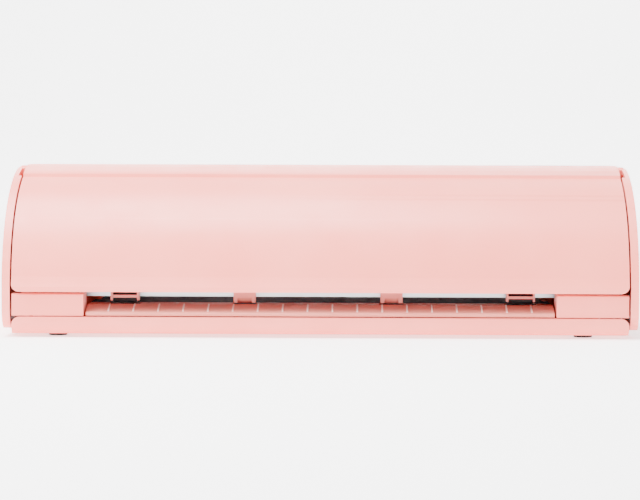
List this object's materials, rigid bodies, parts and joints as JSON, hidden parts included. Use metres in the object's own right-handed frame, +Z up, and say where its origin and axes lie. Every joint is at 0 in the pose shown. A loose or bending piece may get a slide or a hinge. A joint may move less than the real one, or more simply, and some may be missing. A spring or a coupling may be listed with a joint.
{
  "type": "electronic die cutting machine",
  "caption": "Low, wide desktop cutter with a curved hinged lid, end cheeks, a ribbed feed table, pinch rollers, a tool carriage and a pull-out tray.",
  "frame": {"origin": "centre of the footprint, on the surface the feet stand on", "axes": "+X along the width to the right as seen from the front, +Y to the back, +Z up"},
  "size_m": [0.556, 0.197, 0.15],
  "materials": {
    "pink_shell": "satin gloss",
    "pink_table": "satin",
    "steel_plate": "brushed",
    "polished_steel": "polished",
    "aluminium": "satin",
    "motor_metal": "satin",
    "black_rubber": "matte",
    "grey_plastic": "satin",
    "white_plastic": "satin",
    "black_plastic": "satin",
    "circuit_board": "satin",
    "grit": "grit-coated"
  },
  "bodies": {
    "chassis": {"base_pan": "pink_shell", "left_cheek": "pink_shell", "right_cheek": "pink_shell", "left_side_frame": "steel_plate", "right_side_frame": "steel_plate", "front_panel_left": "pink_shell", "front_panel_right": "pink_shell", "feed_table": "pink_table", "cutting_strip": "black_rubber", "rear_table": "pink_table", "rear_cover": "pink_shell", "control_panel": "grey_plastic", "pinch_beam": "aluminium", "pinch_rod": "polished_steel", "carriage_rail": "aluminium", "guide_rod": "polished_steel", "drive_belt": "black_rubber", "carriage_motor": "motor_metal", "carriage_motor_bracket": "steel_plate", "idler_bracket": "steel_plate", "feed_motor": "motor_metal", "feed_motor_bracket": "steel_plate", "drive_bearings": "white_plastic", "main_board": "circuit_board", "power_jack": "black_plastic", "usb_port": "polished_steel", "tray_runners": "grey_plastic", "rubber_feet": "black_rubber", "cheek_screws": "polished_steel"},
    "lid": {"lid_shell": "pink_shell", "lid_hinge_pins": "polished_steel"},
    "tray": {"tray_bed": "pink_table", "tray_front": "pink_shell"},
    "carriage": {"carriage_block": "pink_table", "carriage_bushes": "white_plastic"},
    "tool_1": {"tool_holder_1": "grey_plastic", "blade_cartridge": "aluminium"},
    "tool_2": {"tool_holder_2": "grey_plastic", "tool_adapter": "white_plastic"},
    "lock_lever_1": {"lock_lever_1": "pink_table"},
    "lock_lever_2": {"lock_lever_2": "pink_table"},
    "feed_roller": {"drive_shaft": "polished_steel", "grit_bands": "grit", "drive_gear": "white_plastic"},
    "feed_pinion": {"feed_pinion": "polished_steel"},
    "drive_pulley": {"drive_pulley": "aluminium"},
    "idler_pulley": {"idler_pulley": "white_plastic"},
    "release_lever": {"release_lever": "grey_plastic"},
    "pinch_arm_1": {"pinch_arm_1": "pink_table"},
    "pinch_roller_1": {"pinch_roller_1": "black_rubber"},
    "pinch_arm_2": {"pinch_arm_2": "pink_table"},
    "pinch_roller_2": {"pinch_roller_2": "black_rubber"},
    "pinch_arm_3": {"pinch_arm_3": "pink_table"},
    "pinch_roller_3": {"pinch_roller_3": "black_rubber"},
    "pinch_arm_4": {"pinch_arm_4": "pink_table"},
    "pinch_roller_4": {"pinch_roller_4": "black_rubber"},
    "feed_back_button": {"feed_back_button": "white_plastic"},
    "feed_forward_button": {"feed_forward_button": "white_plastic"},
    "pause_button": {"pause_button": "white_plastic"},
    "power_button": {"power_button": "white_plastic"}
  },
  "joints": [
    {"name": "lid_hinge", "type": "hinge", "parent": "chassis", "child": "lid", "pos_m": [0, 0.024, 0.142], "axis": [-1, 0, 0], "range_deg": [0, 75]},
    {"name": "tray_slide", "type": "slide", "parent": "chassis", "child": "tray", "axis": [0, -1, 0], "range_m": [0, 0.12]},
    {"name": "carriage_slide", "type": "slide", "parent": "chassis", "child": "carriage", "axis": [-1, 0, 0], "range_m": [0, 0.41]},
    {"name": "tool_1_plunge", "type": "slide", "parent": "carriage", "child": "tool_1", "axis": [0, 0, -1], "range_m": [0, 0.0066], "stiffness_N_per_m": 400, "springref_m": -0.002},
    {"name": "tool_2_plunge", "type": "slide", "parent": "carriage", "child": "tool_2", "axis": [0, 0, -1], "range_m": [0, 0.0066], "stiffness_N_per_m": 400, "springref_m": -0.002},
    {"name": "lock_lever_1_turn", "type": "hinge", "parent": "carriage", "child": "lock_lever_1", "pos_m": [0.2135, -0.015, 0.112], "axis": [-1, 0, 0], "range_deg": [0, 80]},
    {"name": "lock_lever_2_turn", "type": "hinge", "parent": "carriage", "child": "lock_lever_2", "pos_m": [0.2425, -0.015, 0.112], "axis": [-1, 0, 0], "range_deg": [0, 80]},
    {"name": "drive_spin", "type": "hinge", "parent": "chassis", "child": "feed_roller", "pos_m": [0, -0.058, 0.0204], "axis": [1, 0, 0], "continuous": true},
    {"name": "feed_pinion_spin", "type": "hinge", "parent": "chassis", "child": "feed_pinion", "pos_m": [-0.2515, -0.0418, 0.0204], "axis": [1, 0, 0], "continuous": true},
    {"name": "carriage_pulley_spin", "type": "hinge", "parent": "chassis", "child": "drive_pulley", "pos_m": [0.248, 0.021, 0.102], "axis": [0, 0, 1], "continuous": true},
    {"name": "idler_spin", "type": "hinge", "parent": "chassis", "child": "idler_pulley", "pos_m": [-0.248, 0.021, 0.102], "axis": [0, 0, 1], "continuous": true},
    {"name": "release_lever_turn", "type": "hinge", "parent": "chassis", "child": "release_lever", "pos_m": [-0.244, -0.045, 0.0515], "axis": [1, 0, 0], "range_deg": [0, 40]},
    {"name": "pinch_arm_1_lift", "type": "hinge", "parent": "chassis", "child": "pinch_arm_1", "pos_m": [-0.173, -0.045, 0.0515], "axis": [-1, 0, 0], "range_deg": [0, 6.5]},
    {"name": "pinch_roller_1_spin", "type": "hinge", "parent": "pinch_arm_1", "child": "pinch_roller_1", "pos_m": [-0.173, -0.058, 0.0332], "axis": [1, 0, 0], "continuous": true},
    {"name": "pinch_arm_2_lift", "type": "hinge", "parent": "chassis", "child": "pinch_arm_2", "pos_m": [-0.067, -0.045, 0.0515], "axis": [-1, 0, 0], "range_deg": [0, 6.5]},
    {"name": "pinch_roller_2_spin", "type": "hinge", "parent": "pinch_arm_2", "child": "pinch_roller_2", "pos_m": [-0.067, -0.058, 0.0327], "axis": [1, 0, 0], "continuous": true},
    {"name": "pinch_arm_3_lift", "type": "hinge", "parent": "chassis", "child": "pinch_arm_3", "pos_m": [0.063, -0.045, 0.0515], "axis": [-1, 0, 0], "range_deg": [0, 6.5]},
    {"name": "pinch_roller_3_spin", "type": "hinge", "parent": "pinch_arm_3", "child": "pinch_roller_3", "pos_m": [0.063, -0.058, 0.0327], "axis": [1, 0, 0], "continuous": true},
    {"name": "pinch_arm_4_lift", "type": "hinge", "parent": "chassis", "child": "pinch_arm_4", "pos_m": [0.177, -0.045, 0.0515], "axis": [-1, 0, 0], "range_deg": [0, 6.5]},
    {"name": "pinch_roller_4_spin", "type": "hinge", "parent": "pinch_arm_4", "child": "pinch_roller_4", "pos_m": [0.177, -0.058, 0.0332], "axis": [1, 0, 0], "continuous": true},
    {"name": "feed_back_button_press", "type": "slide", "parent": "chassis", "child": "feed_back_button", "axis": [0, 0, -1], "range_m": [0, 0.0006], "stiffness_N_per_m": 800, "springref_m": -0.0003},
    {"name": "feed_forward_button_press", "type": "slide", "parent": "chassis", "child": "feed_forward_button", "axis": [0, 0, -1], "range_m": [0, 0.0006], "stiffness_N_per_m": 800, "springref_m": -0.0003},
    {"name": "pause_button_press", "type": "slide", "parent": "chassis", "child": "pause_button", "axis": [0, 0, -1], "range_m": [0, 0.0006], "stiffness_N_per_m": 800, "springref_m": -0.0003},
    {"name": "power_button_press", "type": "slide", "parent": "chassis", "child": "power_button", "axis": [0, 0, -1], "range_m": [0, 0.0006], "stiffness_N_per_m": 800, "springref_m": -0.0003}
  ],
  "couplings": [
    {"joint": "feed_pinion_spin", "follows": "drive_spin", "ratio": -2},
    {"joint": "carriage_pulley_spin", "follows": "carriage_slide", "rad_per_m": -126.58},
    {"joint": "idler_spin", "follows": "carriage_slide", "rad_per_m": -126.58},
    {"joint": "pinch_arm_1_lift", "follows": "release_lever_turn", "ratio": 0.15},
    {"joint": "pinch_roller_1_spin", "follows": "drive_spin", "ratio": -1.7778},
    {"joint": "pinch_arm_2_lift", "follows": "release_lever_turn", "ratio": 0.15},
    {"joint": "pinch_roller_2_spin", "follows": "drive_spin", "ratio": -2},
    {"joint": "pinch_arm_3_lift", "follows": "release_lever_turn", "ratio": 0.15},
    {"joint": "pinch_roller_3_spin", "follows": "drive_spin", "ratio": -2},
    {"joint": "pinch_arm_4_lift", "follows": "release_lever_turn", "ratio": 0.15},
    {"joint": "pinch_roller_4_spin", "follows": "drive_spin", "ratio": -1.7778}
  ]
}
